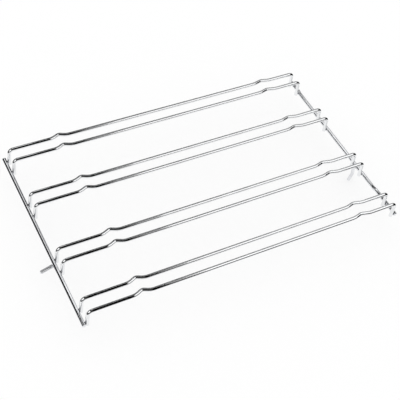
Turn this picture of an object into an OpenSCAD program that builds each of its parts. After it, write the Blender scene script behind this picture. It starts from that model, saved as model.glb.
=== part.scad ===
// Oven side rack: welded frame of bright round wire that carries four shelves.
// It lies on its back: X runs from the rear of the oven to the front,
// Y from the lowest shelf level to the highest, Z from the oven wall to the shelves.
// The origin is under the middle of the rack's outline, at its lowest point.

/* [Runner wires] */
// Diameter of a runner wire
wire_d = 4.5; // [3.5:0.1:5.5]
// Length of a runner, between the axes of its two legs
run_length = 400; // [300:1:480]
// Height of the runners' axes above the crossbars' axes
stand_off = 20; // [16:0.5:40]
// Radius of the bend from runner to leg, at the wire's axis
end_bend_r = 5.5; // [5:0.5:9]
// Outward lean of each leg, which the bend springs back by
leg_splay = 1; // [0:0.5:3]
// Length of a leg past the crossbar's axis
leg_tail = 3.5; // [3:0.25:8]

/* [Shelf levels] */
// Distance between the two wires of a level
pair_gap = 17.4; // [14:0.1:24]
// Distance from level 1 to level 2
pitch_1 = 71; // [45:1:100]
// Distance from level 2 to level 3
pitch_2 = 85; // [45:1:100]
// Distance from level 3 to level 4
pitch_3 = 73; // [60:1:100]

/* [Rear humps] */
// Distance of a rear hump's crest from the rear leg
rear_hump_at = 64; // [40:1:120]
// Height of a rear hump
rear_hump_h = 3.6; // [3:0.1:6]
// Slope of its flanks
rear_hump_slope = 24; // [15:1:28]
// Radius over its crest, at the wire's axis
rear_crest_r = 5.4; // [4:0.2:8]
// Radius at its feet, at the wire's axis
rear_foot_r = 20; // [10:1:24]

/* [Front humps] */
// Distance of a front hump's crest from the front leg
front_hump_at = 49; // [35:1:120]
// Height of a front hump
front_hump_h = 2.4; // [2:0.1:5]
// Slope of its flanks
front_hump_slope = 14; // [10:1:18]
// Radius over its crest, at the wire's axis
front_crest_r = 10; // [6:0.5:14]
// Radius at its feet, at the wire's axis
front_foot_r = 27; // [12:1:32]

/* [Crossbars] */
// Diameter of both crossbars
bar_d = 5; // [4:0.1:7]
// Length of both crossbars past the lowest runner's axis
bar_tail = 3; // [2.5:0.5:12]
// Length of the rear crossbar past the highest runner's axis
rear_bar_head = 6.4; // [2.5:0.2:15]
// Length of the front crossbar past the highest runner's axis
front_bar_head = 3.6; // [2.5:0.2:15]
// Depth of the set-down in the middle of the front crossbar
set_down = 1.2; // [0.8:0.1:3]
// Slope of the bar between its two planes
set_down_slope = 22; // [15:1:28]
// Bend radius of the set-down, at the bar's axis
set_down_r = 4; // [3:0.5:5]
// Start of the set-down, past level 1's upper wire
set_down_after = 22; // [8:0.5:25]
// End of the set-down, before level 4's lower wire
set_down_before = 15; // [8:0.5:20]

/* [Fixing pins] */
// Diameter of both pins
pin_d = 4.5; // [3.5:0.1:5.5]
// Bend radius of both pins' kinks, at the pin's axis
kink_r = 6; // [4:0.5:8]
// Distance of the rear pin's weld below level 2's upper wire
rear_pin_drop = 3; // [1:0.2:12]
// Length of the rear pin before its weld
rear_pin_head = 1.2; // [1:0.1:3]
// Length of the rear pin from its weld to its kink
rear_pin_neck = 2.2; // [2:0.1:8]
// Length of the rear pin from its kink to its tip
rear_pin_reach = 15.4; // [10:0.1:40]
// Angle of the rear pin's kink, towards level 1
rear_pin_kink = 13; // [5:1:18]
// Length of the front pin above its weld
front_pin_head = 3.8; // [2:0.1:6]
// Length of the front pin from its weld to its kink
front_pin_neck = 12; // [9:0.5:25]
// Length of the front pin from its kink to its tip
front_pin_reach = 12; // [8:0.5:30]
// Outward lean of the front pin's neck
front_pin_lean = 7; // [2:0.5:12]
// Angle of the front pin's kink, back towards the rack
front_pin_kink = 21; // [14:1:40]
// Gap between the front pin and the runner leg beside it
front_pin_gap = 0.2; // [0.1:0.1:2]

/* [Finish of ends and welds] */
// Chamfer on the cut ends of runners and crossbars
cut_chamfer = 0.3; // [0.1:0.1:0.8]
// Chamfer on the pins' free tips
tip_chamfer = 0.8; // [0.2:0.1:1.2]
// Depth that welded wires sink into each other
weld_sink = 0.15; // [0.05:0.05:0.4]
// Loss of radius that bending draws out of a wire
bend_draw = 0.02; // [0.01:0.005:0.04]

/* [Hidden] */
$fn = 64;
// Length over which a straight stretch laps onto the thinner bend beside it
bend_lap = 0.2;
// Length that a wire is drawn past each end, to be cut off
end_spare = 1;
chrome = [0.80, 0.81, 0.83];

// Heights of the levels' lower wires, along Y
level_y = [0, pitch_1, pitch_1 + pitch_2, pitch_1 + pitch_2 + pitch_3];
top_y = level_y[3] + pair_gap;

// Distance between two welded wires' axes
function weld_dist(d1, d2) = (d1 + d2) / 2 - weld_sink;

// Crossbar axes: a bar touches the outer side of legs that lean outwards
bar_out = stand_off * tan(leg_splay) + weld_dist(wire_d, bar_d) / cos(leg_splay);
rear_bar_x = -bar_out;
front_bar_x = run_length + bar_out;
rear_bar_top = top_y + rear_bar_head;
front_bar_top = top_y + front_bar_head;
set_down_z = -stand_off - set_down;

// Rear pin: it is welded square under the rear crossbar
rear_pin_y = level_y[1] + pair_gap - rear_pin_drop;
rear_pin_z = -stand_off - weld_dist(pin_d, bar_d);
rear_tip_x = rear_bar_x - rear_pin_neck - rear_pin_reach * cos(rear_pin_kink);

// Front pin: it leans against the set-down stretch of the front crossbar, beside a leg of level 2
front_pin_y = level_y[1] + pair_gap - (wire_d + pin_d) / 2 - front_pin_gap;
front_weld_x = front_bar_x - weld_dist(pin_d, bar_d) * cos(front_pin_lean);
front_weld_z = set_down_z - weld_dist(pin_d, bar_d) * sin(front_pin_lean);
front_tip_lean = front_pin_kink - front_pin_lean;
front_tip_z = front_weld_z - front_pin_neck * cos(front_pin_lean) - front_pin_reach * cos(front_tip_lean);

// Outline of the whole rack, which places the origin
tip_r = pin_d / 2 - tip_chamfer;
low_x = rear_tip_x - tip_r * sin(rear_pin_kink);
high_x = front_bar_x + bar_d / 2;
low_y = -bar_tail;
high_y = max(rear_bar_top, front_bar_top);
low_z = front_tip_z - tip_r * sin(front_tip_lean);

// Length of a bend's tangent, from its corner to where it starts
function tangent(r, angle) = r * tan(angle / 2);

// Straight stretch between two bends of one slope that together step sideways by h
function slope_feed(h, slope, r1, r2) = (h - (r1 + r2) * (1 - cos(slope))) / sin(slope);

// Length that such a step takes along the wire
function step_length(h, slope, r1, r2) =
    (r1 + r2) * sin(slope) + slope_feed(h, slope, r1, r2) * cos(slope);

// A wire is bent as on a bending machine. Each move feeds a straight length,
// turns the wire on its axis and bends it: [feed, turn, angle, radius].
// The wire starts at the origin along +Z, bends towards its own +X and is spare at both ends.
module bent_wire(d, moves, i = 0) {
    feed = moves[i][0];
    angle = moves[i][2];
    r = moves[i][3];
    before = i > 0 ? bend_lap : end_spare;
    after = i < len(moves) - 1 ? bend_lap : end_spare;
    translate([0, 0, -before]) cylinder(h = before + feed + after, d = d);
    if (i < len(moves) - 1)
        translate([0, 0, feed]) rotate([0, 0, moves[i][1]]) {
            translate([r, 0, 0]) mirror([1, 0, 0]) rotate([90, 0, 0])
                rotate_extrude(angle = angle) translate([r, 0]) circle(d = d - 2 * bend_draw);
            translate([r * (1 - cos(angle)), 0, r * sin(angle)]) rotate([0, angle, 0])
                bent_wire(d, moves, i + 1);
        }
}

// Places what is drawn at the far end of a bent wire, looking back along it
module at_wire_end(moves, i = 0) {
    feed = moves[i][0];
    angle = moves[i][2];
    r = moves[i][3];
    translate([0, 0, feed])
        if (i < len(moves) - 1)
            rotate([0, 0, moves[i][1]])
                translate([r * (1 - cos(angle)), 0, r * sin(angle)]) rotate([0, angle, 0])
                    at_wire_end(moves, i + 1) children();
        else
            rotate([180, 0, 0]) children();
}

// Cuts a wire to length and chamfers its end: the end lies at the origin, and the wire runs along +Z
module end_cut(d, chamfer) {
    difference() {
        translate([0, 0, -2 * end_spare]) cylinder(h = chamfer + 3 * end_spare, d = d + 4 * end_spare);
        cylinder(h = chamfer + 2 * end_spare, d1 = d - 2 * chamfer, d2 = d + 4 * end_spare);
    }
}

// A bent wire, cut to length, with its own chamfer at each end
module wire(d, moves, first_chamfer, last_chamfer) {
    difference() {
        bent_wire(d, moves);
        end_cut(d, first_chamfer);
        at_wire_end(moves) end_cut(d, last_chamfer);
    }
}

// Moves over one hump, after the feed that leads to it
function hump_moves(feed, turn, h, slope, crest_r, foot_r) =
    let (flank = slope_feed(h, slope, crest_r, foot_r))
    [[feed, turn, slope, foot_r], [flank, 180, 2 * slope, crest_r], [flank, 180, slope, foot_r]];

// A runner's leg, from the corner of its bend to its cut end
leg_length = (stand_off + leg_tail) / cos(leg_splay);
end_bend = 90 - leg_splay;
end_tangent = tangent(end_bend_r, end_bend);
rear_half = step_length(rear_hump_h, rear_hump_slope, rear_crest_r, rear_foot_r);
front_half = step_length(front_hump_h, front_hump_slope, front_crest_r, front_foot_r);

runner_moves = concat(
    [[leg_length - end_tangent, 0, end_bend, end_bend_r]],
    hump_moves(rear_hump_at - rear_half - end_tangent, 90,
        rear_hump_h, rear_hump_slope, rear_crest_r, rear_foot_r),
    hump_moves(run_length - rear_hump_at - front_hump_at - rear_half - front_half, 0,
        front_hump_h, front_hump_slope, front_crest_r, front_foot_r),
    [[front_hump_at - front_half - end_tangent, -90, end_bend, end_bend_r]],
    [[leg_length - end_tangent]]
);

// Places what is drawn from the rear end of level 1's lower wire in the rack's own frame
module place() {
    translate([-(low_x + high_x) / 2, -(low_y + high_y) / 2, -low_z]) children();
}

module rear_bar_shape() {
    translate([rear_bar_x, -bar_tail, -stand_off]) rotate([-90, 0, 0])
        wire(bar_d, [[rear_bar_top + bar_tail]], cut_chamfer, cut_chamfer);
}

module front_bar_shape() {
    step = step_length(set_down, set_down_slope, set_down_r, set_down_r);
    slope = slope_feed(set_down, set_down_slope, set_down_r, set_down_r);
    first = bar_tail + pair_gap + set_down_after;
    last = front_bar_top - level_y[3] + set_down_before;
    middle = front_bar_top + bar_tail - first - last - 2 * step;
    moves = [
        [first, 90, set_down_slope, set_down_r],
        [slope, 180, set_down_slope, set_down_r],
        [middle, 0, set_down_slope, set_down_r],
        [slope, 180, set_down_slope, set_down_r],
        [last]
    ];
    translate([front_bar_x, -bar_tail, -stand_off]) rotate([-90, 0, 0])
        wire(bar_d, moves, cut_chamfer, cut_chamfer);
}

// One staple-shaped runner wire, saddled where its legs are welded to the crossbars
module runner(y) {
    foot_x = -(stand_off + leg_tail) * tan(leg_splay);
    difference() {
        translate([foot_x, y, -stand_off - leg_tail]) rotate([0, leg_splay, 0])
            wire(wire_d, runner_moves, cut_chamfer, cut_chamfer);
        rear_bar_shape();
        front_bar_shape();
    }
}

// A fixing pin, drawn from its weld at the origin: its head lies below, and its neck and tip above
module kinked_pin(head, neck, reach, turn, kink) {
    bend = tangent(kink_r, kink);
    translate([0, 0, -head])
        wire(pin_d, [[head + neck - bend, turn, kink, kink_r], [reach - bend]], cut_chamfer, tip_chamfer);
}

module rear_pin_shape() {
    difference() {
        translate([rear_bar_x, rear_pin_y, rear_pin_z]) rotate([0, -90, 0])
            kinked_pin(rear_pin_head, rear_pin_neck, rear_pin_reach, -90, rear_pin_kink);
        rear_bar_shape();
    }
}

module front_pin_shape() {
    difference() {
        translate([front_weld_x, front_pin_y, front_weld_z]) rotate([0, 180 - front_pin_lean, 0])
            kinked_pin(front_pin_head, front_pin_neck, front_pin_reach, 0, front_pin_kink);
        front_bar_shape();
    }
}

module crossbar_rear() { color(chrome) place() rear_bar_shape(); }
module crossbar_front() { color(chrome) place() front_bar_shape(); }
module runner_1_lower() { color(chrome) place() runner(level_y[0]); }
module runner_1_upper() { color(chrome) place() runner(level_y[0] + pair_gap); }
module runner_2_lower() { color(chrome) place() runner(level_y[1]); }
module runner_2_upper() { color(chrome) place() runner(level_y[1] + pair_gap); }
module runner_3_lower() { color(chrome) place() runner(level_y[2]); }
module runner_3_upper() { color(chrome) place() runner(level_y[2] + pair_gap); }
module runner_4_lower() { color(chrome) place() runner(level_y[3]); }
module runner_4_upper() { color(chrome) place() runner(level_y[3] + pair_gap); }
module pin_rear() { color(chrome) place() rear_pin_shape(); }
module pin_front() { color(chrome) place() front_pin_shape(); }

crossbar_rear();
crossbar_front();
runner_1_lower();
runner_1_upper();
runner_2_lower();
runner_2_upper();
runner_3_lower();
runner_3_upper();
runner_4_lower();
runner_4_upper();
pin_rear();
pin_front();
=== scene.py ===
import math

import bpy
import numpy as np
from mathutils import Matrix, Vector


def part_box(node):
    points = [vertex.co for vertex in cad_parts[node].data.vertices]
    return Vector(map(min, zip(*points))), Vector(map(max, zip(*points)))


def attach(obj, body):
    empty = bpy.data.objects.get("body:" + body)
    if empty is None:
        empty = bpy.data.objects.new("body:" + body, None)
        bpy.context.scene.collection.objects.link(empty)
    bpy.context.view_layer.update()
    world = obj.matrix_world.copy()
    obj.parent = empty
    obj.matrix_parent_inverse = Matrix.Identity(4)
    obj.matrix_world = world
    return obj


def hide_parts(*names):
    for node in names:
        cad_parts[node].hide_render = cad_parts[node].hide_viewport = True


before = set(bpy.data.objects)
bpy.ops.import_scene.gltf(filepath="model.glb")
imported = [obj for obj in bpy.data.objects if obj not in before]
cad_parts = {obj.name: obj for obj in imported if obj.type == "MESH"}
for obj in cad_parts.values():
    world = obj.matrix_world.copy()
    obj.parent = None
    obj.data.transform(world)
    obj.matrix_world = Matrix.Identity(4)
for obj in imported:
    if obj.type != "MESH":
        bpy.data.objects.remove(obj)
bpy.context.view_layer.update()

mm = 0.001
scene = bpy.context.scene

# What every wire shares, in millimetres and degrees
wireMesh = {
    "sides": 40,            # faces round a wire
    "straightStep": 6.0,    # rings along a straight stretch
    "bendStep": 3.0,        # degrees between rings in a bend
    "flattening": 0.012,    # share of the radius that a tight bend loses
    "sharpAngle": 35.0,     # edges steeper than this stay sharp
}


def unit(v):
    return v / np.linalg.norm(v, axis=-1, keepdims=True)


def alongMoves(start, across, ahead, moves):
    # The centre line of a bent wire: each move feeds straight on, turns the wire on its axis,
    # then bends it towards "across" on a circle, as [feed, turn, angle, radius]
    point, across, ahead = (np.array(v, float) for v in (start, across, ahead))
    centres, tangents, bendiness, lengths = [], [], [], []
    run = 0.0
    for i, move in enumerate(moves):
        feed = move[0]
        steps = np.linspace(0.0, 1.0, 2 + int(feed / wireMesh["straightStep"]))
        steps = steps if i == 0 else steps[1:]
        centres.append(point + np.outer(steps * feed, ahead))
        tangents.append(np.tile(ahead, (len(steps), 1)))
        bendiness.append(np.zeros(len(steps)))
        lengths.append(run + steps * feed)
        point = point + feed * ahead
        run += feed
        if len(move) == 1:
            continue
        turn, angle, radius = math.radians(move[1]), math.radians(move[2]), move[3]
        across = across * math.cos(turn) + np.cross(ahead, across) * math.sin(turn)
        count = max(3, round(move[2] / wireMesh["bendStep"]))
        a = np.linspace(0.0, angle, count + 1)[1:, None]
        centres.append(point + radius * ((1 - np.cos(a)) * across + np.sin(a) * ahead))
        tangents.append(np.cos(a) * ahead + np.sin(a) * across)
        bendiness.append(np.sin(np.pi * a[:, 0] / angle) / radius)
        lengths.append(run + radius * a[:, 0])
        point = centres[-1][-1]
        run += radius * angle
        across, ahead = across * math.cos(angle) - ahead * math.sin(angle), tangents[-1][-1]
    return tuple(np.concatenate(part) for part in (centres, tangents, bendiness, lengths))


def wireSurface(line, radius, side, chamfers):
    # A circle carried along the line. Its radius falls to the chamfer at both ends,
    # and one middle point closes each end
    centres, tangents, bendiness, lengths = line
    first, last = chamfers
    # Two rings at each end: the flat end's edge and the chamfer's edge
    centres = np.concatenate([centres[:1], centres[:1] + first * tangents[0], centres[1:-1],
                              centres[-1:] - last * tangents[-1], centres[-1:]])
    tangents = np.concatenate([tangents[:1], tangents[:1], tangents[1:-1], tangents[-1:], tangents[-1:]])
    bendiness = np.concatenate([[0, 0], bendiness[1:-1], [0, 0]])
    lengths = np.concatenate([lengths[:1], lengths[:1] + first, lengths[1:-1],
                              lengths[-1:] - last, lengths[-1:]])
    radii = radius * (1 - wireMesh["flattening"] * np.minimum(bendiness * radius, 1.0))
    radii[0] -= first
    radii[-1] -= last
    u = unit(side - (tangents @ side)[:, None] * tangents)
    v = np.cross(tangents, u)
    sides = wireMesh["sides"]
    a = np.arange(sides) * 2 * np.pi / sides
    ring = np.cos(a)[None, :, None] * u[:, None, :] + np.sin(a)[None, :, None] * v[:, None, :]
    grid = centres[:, None, :] + radii[:, None, None] * ring
    return grid, centres[[0, -1]], lengths, a * radius


def gridMesh(name, grid, poles, lengths, around):
    # Quads between neighbouring rings and a fan to each pole. The UV map runs along and around, in metres
    rings, sides = grid.shape[:2]
    verts = np.concatenate([grid.reshape(-1, 3), poles]) * mm
    i, j = np.meshgrid(np.arange(rings - 1), np.arange(sides), indexing="ij")
    k = (j + 1) % sides
    quads = np.stack([i * sides + j, i * sides + k, (i + 1) * sides + k, (i + 1) * sides + j], -1)
    edge = np.arange(sides)
    after = (edge + 1) % sides
    top = rings * sides - sides
    fans = np.concatenate([
        np.stack([after, edge, np.full(sides, rings * sides)], -1),
        np.stack([top + edge, top + after, np.full(sides, rings * sides + 1)], -1)])
    mesh = bpy.data.meshes.new(name)
    mesh.from_pydata(verts.tolist(), [], quads.reshape(-1, 4).tolist() + fans.tolist())
    step = around[1] - around[0]
    uv = mesh.uv_layers.new(name="along")
    quadUv = np.stack([
        np.stack([lengths[i], around[j]], -1), np.stack([lengths[i], around[j] + step], -1),
        np.stack([lengths[i + 1], around[j] + step], -1), np.stack([lengths[i + 1], around[j]], -1)], -2)
    fanUv = np.zeros((2 * sides, 3, 2))
    fanUv[:sides, :, 0] = lengths[0]
    fanUv[sides:, :, 0] = lengths[-1]
    flat = np.concatenate([quadUv.reshape(-1, 2), fanUv.reshape(-1, 2)]) * mm
    uv.data.foreach_set("uv", flat.ravel())
    return mesh


def addPiece(name, mesh, material, node=None):
    # Smooth faces, sharp chamfers, and how hot each point got from the nearest weld, as an attribute
    verts = np.empty(len(mesh.vertices) * 3)
    mesh.vertices.foreach_get("co", verts)
    away = np.linalg.norm(verts.reshape(-1, 1, 3) / mm - weldPoints[None], axis=-1).min(axis=1)
    heat = mesh.attributes.new("heat", "FLOAT", "POINT")
    heat.data.foreach_set("value", np.exp(-(away / welds["heatReach"]) ** 2))
    piece = bpy.data.objects.new(name, mesh)
    scene.collection.objects.link(piece)
    mesh.materials.append(material)
    mesh.polygons.foreach_set("use_smooth", np.ones(len(mesh.polygons), bool))
    mesh.set_sharp_from_angle(angle=math.radians(wireMesh["sharpAngle"]))
    mesh.update()
    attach(piece, "root")
    if node:
        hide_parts(node)
    return piece


def addWire(node, start, across, ahead, moves, radius, side, chamfers, material):
    line = alongMoves(start, across, ahead, moves)
    surface = wireSurface(line, radius, np.array(side, float), chamfers)
    name = f"wire_{node}"
    return addPiece(name, gridMesh(name, *surface), material, node)


def tangentLength(radius, angle):
    return radius * math.tan(math.radians(angle) / 2)


def slopeFeed(height, slope, r1, r2):
    # Straight stretch between two bends of one slope that step sideways by the height
    s = math.radians(slope)
    return (height - (r1 + r2) * (1 - math.cos(s))) / math.sin(s)


def stepLength(height, slope, r1, r2):
    s = math.radians(slope)
    return (r1 + r2) * math.sin(s) + slopeFeed(height, slope, r1, r2) * math.cos(s)


def humpMoves(feed, turn, hump):
    flank = slopeFeed(hump["height"], hump["slope"], hump["crest"], hump["foot"])
    return [[feed, turn, hump["slope"], hump["foot"]],
            [flank, 180, 2 * hump["slope"], hump["crest"]],
            [flank, 180, hump["slope"], hump["foot"]]]


def nodeBox(node):
    low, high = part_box(node)
    return np.array(low) / mm, np.array(high) / mm


# Runner wires
runner = {
    "diameter": 4.5, "length": 400.0, "standOff": 20.0, "legTail": 3.5, "splay": 1.0, "bend": 5.5,
    "rearAt": 64.0, "frontAt": 49.0, "chamfer": 0.3,
    "rear": {"height": 3.6, "slope": 24.0, "crest": 5.4, "foot": 20.0},
    "front": {"height": 2.4, "slope": 14.0, "crest": 10.0, "foot": 27.0},
}
# Crossbars
bars = {
    "diameter": 5.0, "chamfer": 0.3,
    "setDown": 1.2, "slope": 22.0, "bend": 4.0, "first": 42.4, "last": 18.6,
}
# Fixing pins
pins = {
    "diameter": 4.5, "bend": 6.0, "headChamfer": 0.3, "tipChamfer": 0.8, "sink": 0.15, "gap": 0.2,
    "rear": {"head": 1.2, "neck": 2.2, "reach": 15.4, "kink": 13.0, "drop": 3.0},
    "front": {"head": 3.8, "neck": 12.0, "reach": 12.0, "kink": 21.0, "lean": 7.0},
}
# Metal squeezed out round each weld spot
welds = {
    "ring": 1.55, "thick": 0.55, "lip": 0.16, "wobble": 0.14, "heatReach": 3.6,
    "widest": 0.93,         # share of the wire's radius that a bead may reach out to
    "ringSteps": 28, "roundSteps": 12, "seed": 12,
}


def runnerMoves(r):
    legLength = (r["standOff"] + r["legTail"]) / math.cos(math.radians(r["splay"]))
    endBend = 90 - r["splay"]
    corner = tangentLength(r["bend"], endBend)
    rearHalf, frontHalf = (
        stepLength(h["height"], h["slope"], h["crest"], h["foot"]) for h in (r["rear"], r["front"]))
    moves = [[legLength - corner, 0, endBend, r["bend"]]]
    moves += humpMoves(r["rearAt"] - rearHalf - corner, 90, r["rear"])
    moves += humpMoves(r["length"] - r["rearAt"] - r["frontAt"] - rearHalf - frontHalf, 0, r["front"])
    moves += [[r["frontAt"] - frontHalf - corner, -90, endBend, r["bend"]], [legLength - corner]]
    return moves


def pinMoves(pin, turn):
    corner = tangentLength(pins["bend"], pin["kink"])
    return [[pin["head"] + pin["neck"] - corner, turn, pin["kink"], pins["bend"]], [pin["reach"] - corner]]


# Where things are, from the frame's own boxes
splay = math.radians(runner["splay"])
legDepth = runner["standOff"] + runner["legTail"]
runnerHalf = runner["diameter"] / 2
barHalf = bars["diameter"] / 2
pinHalf = pins["diameter"] / 2
rearLow, rearHigh = nodeBox("crossbar_rear")
frontLow, frontHigh = nodeBox("crossbar_front")
rearBar = np.array([(rearLow[0] + rearHigh[0]) / 2, 0, (rearLow[2] + rearHigh[2]) / 2])
frontBar = np.array([(frontLow[0] + frontHigh[0]) / 2, 0, frontHigh[2] - barHalf])
runners = {}
for level in (1, 2, 3, 4):
    for place in ("lower", "upper"):
        low, high = nodeBox(f"runner_{level}_{place}")
        footX = (low[0] + high[0]) / 2 - runner["length"] / 2 - legDepth * math.tan(splay)
        runners[f"runner_{level}_{place}"] = (footX, low[1] + runnerHalf, high[2] - runnerHalf - legDepth)


def barDrop(y):
    # How far the front bar is set down at y, along its two slopes
    step = stepLength(bars["setDown"], bars["slope"], bars["bend"], bars["bend"])
    down = np.clip((y - frontLow[1] - bars["first"]) / step, 0, 1)
    up = np.clip((frontHigh[1] - bars["last"] - y) / step, 0, 1)
    return bars["setDown"] * min(down, up)


# One entry for each weld: its spot, the wire's direction, and the direction from bar to wire
weldPlaces = []
yAxis = np.array([0.0, 1.0, 0.0])
for footX, y, footZ in runners.values():
    spot = rearBar + [barHalf, y, 0]
    weldPlaces.append((spot, np.array([math.sin(splay), 0, math.cos(splay)]), np.array([1.0, 0, 0])))
    spot = frontBar + [-barHalf, y, -barDrop(y)]
    weldPlaces.append((spot, np.array([-math.sin(splay), 0, math.cos(splay)]), np.array([-1.0, 0, 0])))
legY = runners["runner_2_upper"][1]
weldGap = barHalf + pinHalf - pins["sink"]
rearPinY = legY - pins["rear"]["drop"]
weldPlaces.append((rearBar + [0, rearPinY, -barHalf], np.array([-1.0, 0, 0]), np.array([0, 0, -1.0])))
lean = math.radians(pins["front"]["lean"])
down = np.array([math.sin(lean), 0, -math.cos(lean)])
outward = np.array([math.cos(lean), 0, math.sin(lean)])
frontPinY = legY - pinHalf - runnerHalf - pins["gap"]
frontSpot = frontBar + [0, frontPinY, -bars["setDown"]]
weldPlaces.append((frontSpot - barHalf * outward, down, -outward))
weldPoints = np.array([place[0] for place in weldPlaces])


# Chrome over drawn wire. Scales are cycles in a metre, and edges are where a noise's patches begin and end
plateFinish = {
    "lineScale": (45, 5200, 1), "lineHeight": 0.12, "lineRoughness": 0.03, "rippleScale": 140,
    "patchScale": 42, "patchEdges": (0.42, 0.68), "dullRoughness": 0.14,
    "pitScale": 2600, "pitEdges": (0.70, 0.78), "pitDullness": 0.45, "pitDepth": 0.25,
}
# What a weld's heat does to it. Its blue-grey is darkened to be partly painted shade for the joint between
# wire and bar.
heatAndShadeFinish = {
    "mottleScale": 700, "mottleFloor": 0.45, "roughness": 0.22, "bumps": 1.6,
    "strawEdges": (0.15, 0.6), "straw": (0.60, 0.55, 0.47, 1),
    # The blue-grey is partly painted shade in the joint, darker than a heat tint under chrome would show
    "blueEdges": (0.6, 0.95), "blue": (0.30, 0.31, 0.36, 1),
}


def newNode(tree, kind, inputs=None, **settings):
    node = tree.nodes.new(kind)
    for key, value in settings.items():
        setattr(node, key, value)
    for key, value in (inputs or {}).items():
        if isinstance(value, bpy.types.NodeSocket):
            tree.links.new(value, node.inputs[key])
        else:
            node.inputs[key].default_value = value
    return node


def mathNode(tree, operation, a, b=0.0, clamp=False):
    return newNode(tree, "ShaderNodeMath", {0: a, 1: b}, operation=operation, use_clamp=clamp).outputs[0]


def noiseNode(tree, vector, scale, detail):
    scale = scale if isinstance(scale, tuple) else (scale,) * 3
    scaled = newNode(tree, "ShaderNodeVectorMath", {0: vector, 1: scale}, operation="MULTIPLY").outputs[0]
    noise = newNode(tree, "ShaderNodeTexNoise", {"Vector": scaled, "Scale": 1.0, "Detail": detail})
    return noise.outputs["Fac"]


def rampNode(tree, value, edges):
    low, high = edges
    return newNode(tree, "ShaderNodeMapRange", {"Value": value, "From Min": low, "From Max": high},
                   interpolation_type="SMOOTHSTEP").outputs[0]


def mixColour(tree, factor, a, b):
    # The colour sockets of a Mix node are its inputs 6 and 7 and its output 2
    return newNode(tree, "ShaderNodeMix", {0: factor, 6: a, 7: b}, data_type="RGBA").outputs[2]


def newGroup(name, inputs, outputs):
    group = bpy.data.node_groups.new(name, "ShaderNodeTree")
    for label, kind in inputs:
        group.interface.new_socket(name=label, in_out="INPUT", socket_type=kind)
    for label, kind in outputs:
        group.interface.new_socket(name=label, in_out="OUTPUT", socket_type=kind)
    start = group.nodes.new("NodeGroupInput").outputs
    end = group.nodes.new("NodeGroupOutput").inputs
    return group, start, end


def makePlating():
    # Bright chrome over drawn wire: fine die lines along it, a slow ripple, patches of haze and tiny pits
    group, start, end = newGroup(
        "Plating",
        [("Along", "NodeSocketVector"), ("Place", "NodeSocketVector"), ("Colour", "NodeSocketColor"),
         ("Haze Colour", "NodeSocketColor"), ("Haze", "NodeSocketFloat"), ("Roughness", "NodeSocketFloat")],
        [("Colour", "NodeSocketColor"), ("Roughness", "NodeSocketFloat"), ("Height", "NodeSocketFloat")])
    look = plateFinish
    dieLines = noiseNode(group, start["Along"], look["lineScale"], 2)
    ripple = noiseNode(group, start["Place"], look["rippleScale"], 1)
    patches = rampNode(group, noiseNode(group, start["Place"], look["patchScale"], 4), look["patchEdges"])
    pits = rampNode(group, noiseNode(group, start["Place"], look["pitScale"], 1), look["pitEdges"])
    haze = mathNode(group, "MULTIPLY", patches, start["Haze"], clamp=True)
    dull = mathNode(group, "MAXIMUM", haze, mathNode(group, "MULTIPLY", pits, look["pitDullness"]))
    group.links.new(mixColour(group, dull, start["Colour"], start["Haze Colour"]), end["Colour"])
    lineShare = mathNode(group, "MULTIPLY", dieLines, look["lineRoughness"])
    rough = mathNode(group, "ADD", mathNode(group, "MULTIPLY", dull, look["dullRoughness"]), lineShare)
    group.links.new(mathNode(group, "ADD", rough, start["Roughness"]), end["Roughness"])
    height = mathNode(group, "ADD", mathNode(group, "MULTIPLY", dieLines, look["lineHeight"]), ripple)
    depth = mathNode(group, "MULTIPLY", pits, look["pitDepth"])
    group.links.new(mathNode(group, "SUBTRACT", height, depth), end["Height"])
    return group


def makeWeldHeat():
    # Where the weld's heat reached the metal it is straw-coloured, then blue-grey, under the chrome. The
    # blue-grey nearest the weld is partly real heat tint and partly painted shade for the joint.
    group, start, end = newGroup(
        "Weld Heat and Painted Shade",
        [("Heat", "NodeSocketFloat"), ("Place", "NodeSocketVector"), ("Colour", "NodeSocketColor"),
         ("Roughness", "NodeSocketFloat"), ("Height", "NodeSocketFloat")],
        [("Colour", "NodeSocketColor"), ("Roughness", "NodeSocketFloat"), ("Height", "NodeSocketFloat")])
    look = heatAndShadeFinish
    mottle = noiseNode(group, start["Place"], look["mottleScale"], 3)
    uneven = mathNode(group, "ADD", mottle, look["mottleFloor"])
    reached = mathNode(group, "MULTIPLY", start["Heat"], uneven, clamp=True)
    straw = mixColour(group, rampNode(group, reached, look["strawEdges"]), start["Colour"], look["straw"])
    blue = mixColour(group, rampNode(group, reached, look["blueEdges"]), straw, look["blue"])
    group.links.new(blue, end["Colour"])
    hot = mathNode(group, "MULTIPLY", reached, look["roughness"])
    group.links.new(mathNode(group, "ADD", hot, start["Roughness"]), end["Roughness"])
    mottled = mathNode(group, "MULTIPLY", mottle, start["Heat"])
    bumps = mathNode(group, "MULTIPLY", mottled, look["bumps"])
    group.links.new(mathNode(group, "ADD", bumps, start["Height"]), end["Height"])
    return group


plating = makePlating()
weldHeatAndShade = makeWeldHeat()


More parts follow.
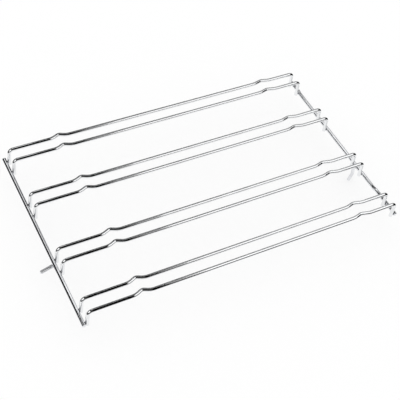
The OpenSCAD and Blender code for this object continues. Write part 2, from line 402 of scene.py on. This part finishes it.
def chromeMaterial(name, colour, hazeColour, haze, roughness, bump):
    material = bpy.data.materials.new(name)
    material.use_nodes = True
    tree = material.node_tree
    shader = tree.nodes["Principled BSDF"]
    place = newNode(tree, "ShaderNodeTexCoord").outputs["Object"]
    along = newNode(tree, "ShaderNodeUVMap", uv_map="along").outputs["UV"]
    heat = newNode(tree, "ShaderNodeAttribute", attribute_name="heat").outputs["Fac"]
    plate = newNode(tree, "ShaderNodeGroup", {
        "Along": along, "Place": place, "Colour": (*colour, 1), "Haze Colour": (*hazeColour, 1),
        "Haze": haze, "Roughness": roughness}, node_tree=plating).outputs
    tint = newNode(tree, "ShaderNodeGroup", {
        "Heat": heat, "Place": place, "Colour": plate["Colour"], "Roughness": plate["Roughness"],
        "Height": plate["Height"]}, node_tree=weldHeatAndShade).outputs
    relief = newNode(tree, "ShaderNodeBump", {
        "Strength": 1.0, "Distance": bump * mm, "Height": tint["Height"]}).outputs["Normal"]
    tree.links.new(tint["Colour"], shader.inputs["Base Color"])
    tree.links.new(tint["Roughness"], shader.inputs["Roughness"])
    tree.links.new(relief, shader.inputs["Normal"])
    shader.inputs["Metallic"].default_value = 1.0
    return material


chrome = {
    "runner": chromeMaterial("runner_chrome", (0.86, 0.87, 0.88), (0.70, 0.70, 0.71), 0.35, 0.045, 0.012),
    "bar": chromeMaterial("bar_chrome", (0.84, 0.85, 0.87), (0.66, 0.66, 0.68), 0.45, 0.06, 0.015),
    "pin": chromeMaterial("pin_chrome", (0.84, 0.85, 0.87), (0.64, 0.64, 0.66), 0.55, 0.07, 0.02),
    # The weld beads' chrome is darkened to under half the wire's. This is partly the real burnt, rough weld
    # and partly painted shade for the crevice where wire and bar meet.
    "weld": chromeMaterial("weld_chrome_and_painted_shade", (0.40, 0.40, 0.42), (0.24, 0.24, 0.26), 0.8, 0.16, 0.06),
}
print("materials made")

for node, foot in runners.items():
    addWire(node, foot, (math.cos(splay), 0, -math.sin(splay)), (math.sin(splay), 0, math.cos(splay)),
            runnerMoves(runner), runnerHalf, yAxis, (runner["chamfer"],) * 2, chrome["runner"])
print("runner wires made")

addWire("crossbar_rear", rearBar + [0, rearLow[1], 0], (1, 0, 0), yAxis, [[rearHigh[1] - rearLow[1]]],
        barHalf, (1, 0, 0), (bars["chamfer"],) * 2, chrome["bar"])
slope = slopeFeed(bars["setDown"], bars["slope"], bars["bend"], bars["bend"])
step = stepLength(bars["setDown"], bars["slope"], bars["bend"], bars["bend"])
middle = frontHigh[1] - frontLow[1] - bars["first"] - bars["last"] - 2 * step
bend = [bars["slope"], bars["bend"]]
frontMoves = [[bars["first"], 90] + bend, [slope, 180] + bend, [middle, 0] + bend, [slope, 180] + bend,
              [bars["last"]]]
addWire("crossbar_front", frontBar + [0, frontLow[1], 0], (1, 0, 0), yAxis, frontMoves,
        barHalf, (1, 0, 0), (bars["chamfer"],) * 2, chrome["bar"])
print("crossbars made")

pinEnds = (pins["headChamfer"], pins["tipChamfer"])
addWire("pin_rear", rearBar + [pins["rear"]["head"], rearPinY, -weldGap], (0, 0, 1), (-1, 0, 0),
        pinMoves(pins["rear"], -90), pinHalf, (0, 0, 1), pinEnds, chrome["pin"])
addWire("pin_front", frontSpot - weldGap * outward - pins["front"]["head"] * down, -outward, down,
        pinMoves(pins["front"], 0), pinHalf, yAxis, pinEnds, chrome["pin"])
print("pins made")


def weldCollar(name, spot, u, h, wireRadius, draws):
    # A closed bead round the spot, in the wedge between two crossed cylinders: its middle line runs
    # half-way between them at "ring" from the spot, and it is as high there as the gap, with a lip to spare
    v = np.cross(h, u)
    b = np.linspace(0, 2 * np.pi, welds["ringSteps"], endpoint=False)[:, None]
    a = np.linspace(0, 2 * np.pi, welds["roundSteps"], endpoint=False)[None, :]
    uneven = 1 + welds["wobble"] * (np.sin(2 * b + draws[0]) + 0.6 * np.sin(3 * b + draws[1])
                                    + 0.35 * np.sin(5 * b + draws[2])) / 2
    ring = welds["ring"] * uneven

    def wireSide(across):
        return wireRadius - np.sqrt(wireRadius ** 2 - across ** 2)

    def barSide(across):
        return np.sqrt(barHalf ** 2 - across ** 2) - barHalf

    gap = wireSide(ring * np.sin(b)) - barSide(ring * np.cos(b))
    out = np.minimum(ring + welds["thick"] * uneven * np.cos(a), welds["widest"] * wireRadius)
    middleLine = (wireSide(out * np.sin(b)) + barSide(out * np.cos(b))) / 2
    rise = middleLine + (gap / 2 + welds["lip"] * uneven) * np.sin(a)
    grid = spot + (out * np.cos(b))[..., None] * u + (out * np.sin(b))[..., None] * v + rise[..., None] * h
    rows, columns = grid.shape[:2]
    i, j = np.meshgrid(np.arange(rows), np.arange(columns), indexing="ij")
    i2, j2 = (i + 1) % rows, (j + 1) % columns
    quads = np.stack([i * columns + j, i2 * columns + j, i2 * columns + j2, i * columns + j2], -1)
    mesh = bpy.data.meshes.new(name)
    mesh.from_pydata((grid.reshape(-1, 3) * mm).tolist(), [], quads.reshape(-1, 4).tolist())
    uv = mesh.uv_layers.new(name="along")
    corners = np.stack([np.stack([i, j], -1), np.stack([i + 1, j], -1),
                        np.stack([i + 1, j + 1], -1), np.stack([i, j + 1], -1)], -2)
    size = (welds["ring"] * 2 * np.pi / rows * mm, welds["thick"] * 2 * np.pi / columns * mm)
    uv.data.foreach_set("uv", (corners * size).ravel())
    addPiece(name, mesh, chrome["weld"])


draw = np.random.default_rng(welds["seed"])
for number, (spot, u, h) in enumerate(weldPlaces):
    weldCollar(f"weld_{number + 1:02d}", spot, u, h, runnerHalf, draw.uniform(0, 2 * np.pi, 3))
print("weld beads made")

# Floor, light and camera
view = {
    "place": (-395.4, -582.5, 831.5),      # millimetres
    "turn": (39.98, -6.59, -26.98),        # degrees
    "lens": 79.0, "sensor": 36.0, "shift": (0.0008, 0.0015),
}
# The studio round the object, in metres and seen only in its reflections: a dark drape, white softboxes
# and dark cards laid on the table
studio = {
    "radius": 1.10, "eyeLevel": 0.02, "drape": 0.004, "drapeBelow": 6,
    "tableHalf": (0.32, 0.25), "cardHeight": 0.001, "floorHalf": 8.0,
    "floorGlow": 0.65,      # share of the floor that stays white in its shadows
}
# Four corners each, as degrees from +X and degrees round it from +Y upwards, and how bright it is
softboxes = {
    "key_softbox": (((44, 78), (44, 151), (75, 152), (75, 92)), 1.25),
    "key_edge": (((75, 92), (75, 152), (78.5, 152), (78.5, 95)), 0.4),
    "far_softbox": (((60, 48), (60, 67), (87, 66), (87, 59)), 1.1),
    "rear_softbox": (((87, 41), (87, 66), (112, 66), (112, 41)), 1.1),
    "right_softbox": (((22, 22), (22, 66), (60, 67), (60, 36)), 0.75),
    "near_glow": (((92, 112), (92, 182), (126, 182), (114, 112)), 0.07),
    "left_softbox": (((128, 62), (128, 150), (168, 150), (168, 62)), 1.25),
}


def stageObject(name, mesh, material, reflectionsOnly=True):
    thing = bpy.data.objects.new(name, mesh)
    scene.collection.objects.link(thing)
    mesh.materials.append(material)
    if reflectionsOnly:
        thing.visible_camera = False
        thing.visible_diffuse = False
        thing.visible_shadow = False
        thing.visible_transmission = False


def surfaceMesh(name, points):
    # Quads between the rows and columns of a grid of points
    rows, columns = points.shape[:2]
    i, j = np.meshgrid(np.arange(rows - 1), np.arange(columns - 1), indexing="ij")
    corner = i * columns + j
    quads = np.stack([corner, corner + 1, corner + columns + 1, corner + columns], -1)
    mesh = bpy.data.meshes.new(name)
    mesh.from_pydata(points.reshape(-1, 3).tolist(), [], quads.reshape(-1, 4).tolist())
    return mesh


def glowMaterial(name, strength):
    material = bpy.data.materials.new(name)
    material.use_nodes = True
    tree = material.node_tree
    tree.nodes.clear()
    glow = newNode(tree, "ShaderNodeEmission", {"Color": (1, 1, 1, 1), "Strength": strength})
    end = newNode(tree, "ShaderNodeOutputMaterial")
    tree.links.new(glow.outputs[0], end.inputs["Surface"])
    return material


def domePatch(name, corners, radius, steps):
    # A four-cornered piece of the dome: angles run straight between the corners, points lie on the sphere
    s = np.linspace(0, 1, steps)[:, None, None]
    t = np.linspace(0, 1, steps)[None, :, None]
    c = np.radians(np.array(corners, float))
    angles = (1 - s) * ((1 - t) * c[0] + t * c[1]) + s * ((1 - t) * c[3] + t * c[2])
    fromX, roundX = angles[..., 0], angles[..., 1]
    away = np.sin(fromX)
    points = radius * np.stack([np.cos(fromX), away * np.cos(roundX), away * np.sin(roundX)], -1)
    points[..., 2] += studio["eyeLevel"]
    return surfaceMesh(name, points)


dark = glowMaterial("drape", studio["drape"])
low, high = -studio["drapeBelow"], 180 + studio["drapeBelow"]
drapeCorners = ((0, low), (0, high), (180, high), (180, low))
stageObject("drape", domePatch("drape", drapeCorners, studio["radius"], 65), dark)
for name, (corners, strength) in softboxes.items():
    panel = domePatch(name, corners, studio["radius"] * 0.99, 25)
    stageObject(name, panel, glowMaterial(name, strength))

# The cards leave a rounded rectangle of white table round the object
turn = np.linspace(0, 2 * np.pi, 97)[None, :, None]
outwards = np.linspace(0, 1, 9)[:, None, None]
rim = np.concatenate([np.cos(turn), np.sin(turn)], -1)
table = np.array(studio["tableHalf"]) * np.sign(rim) * np.abs(rim) ** 0.5
flat = (1 - outwards) * table + outwards * studio["radius"] * rim
cards = np.concatenate([flat, np.full((*flat.shape[:2], 1), studio["cardHeight"])], -1)
stageObject("table_cards", surfaceMesh("table_cards", cards), dark)

floorMaterial = bpy.data.materials.new("table")
floorMaterial.use_nodes = True
floorTree = floorMaterial.node_tree
floorTree.nodes.clear()
matt = newNode(floorTree, "ShaderNodeBsdfDiffuse", {"Color": (1, 1, 1, 1)}).outputs[0]
white = newNode(floorTree, "ShaderNodeEmission", {"Color": (1, 1, 1, 1), "Strength": 1.0}).outputs[0]
rays = newNode(floorTree, "ShaderNodeLightPath").outputs
bent = mathNode(floorTree, "MAXIMUM", rays["Is Glossy Ray"], rays["Is Transmission Ray"])
seen = mathNode(floorTree, "MAXIMUM", rays["Is Camera Ray"], bent)
glowShare = mathNode(floorTree, "MULTIPLY", seen, studio["floorGlow"])
paper = newNode(floorTree, "ShaderNodeMixShader", {0: glowShare, 1: matt, 2: white}).outputs[0]
floorTree.links.new(paper, newNode(floorTree, "ShaderNodeOutputMaterial").inputs["Surface"])
side = np.linspace(-studio["floorHalf"], studio["floorHalf"], 3)
floorPoints = np.stack([*np.meshgrid(side, side, indexing="xy"), np.zeros((3, 3))], -1)
stageObject("floor", surfaceMesh("floor", floorPoints), floorMaterial, reflectionsOnly=False)

world = bpy.data.worlds.new("studio")
scene.world = world
world.use_nodes = True
world.node_tree.nodes["Background"].inputs["Color"].default_value = (1, 1, 1, 1)

camera = bpy.data.objects.new("camera", bpy.data.cameras.new("camera"))
camera.data.sensor_width = view["sensor"]
camera.data.lens = view["lens"]
camera.data.shift_x, camera.data.shift_y = view["shift"]
camera.data.clip_start = 0.01
camera.location = [v * mm for v in view["place"]]
camera.rotation_euler = [math.radians(v) for v in view["turn"]]
scene.collection.objects.link(camera)
scene.camera = camera
scene.view_settings.view_transform = "Standard"
print("studio and camera made")
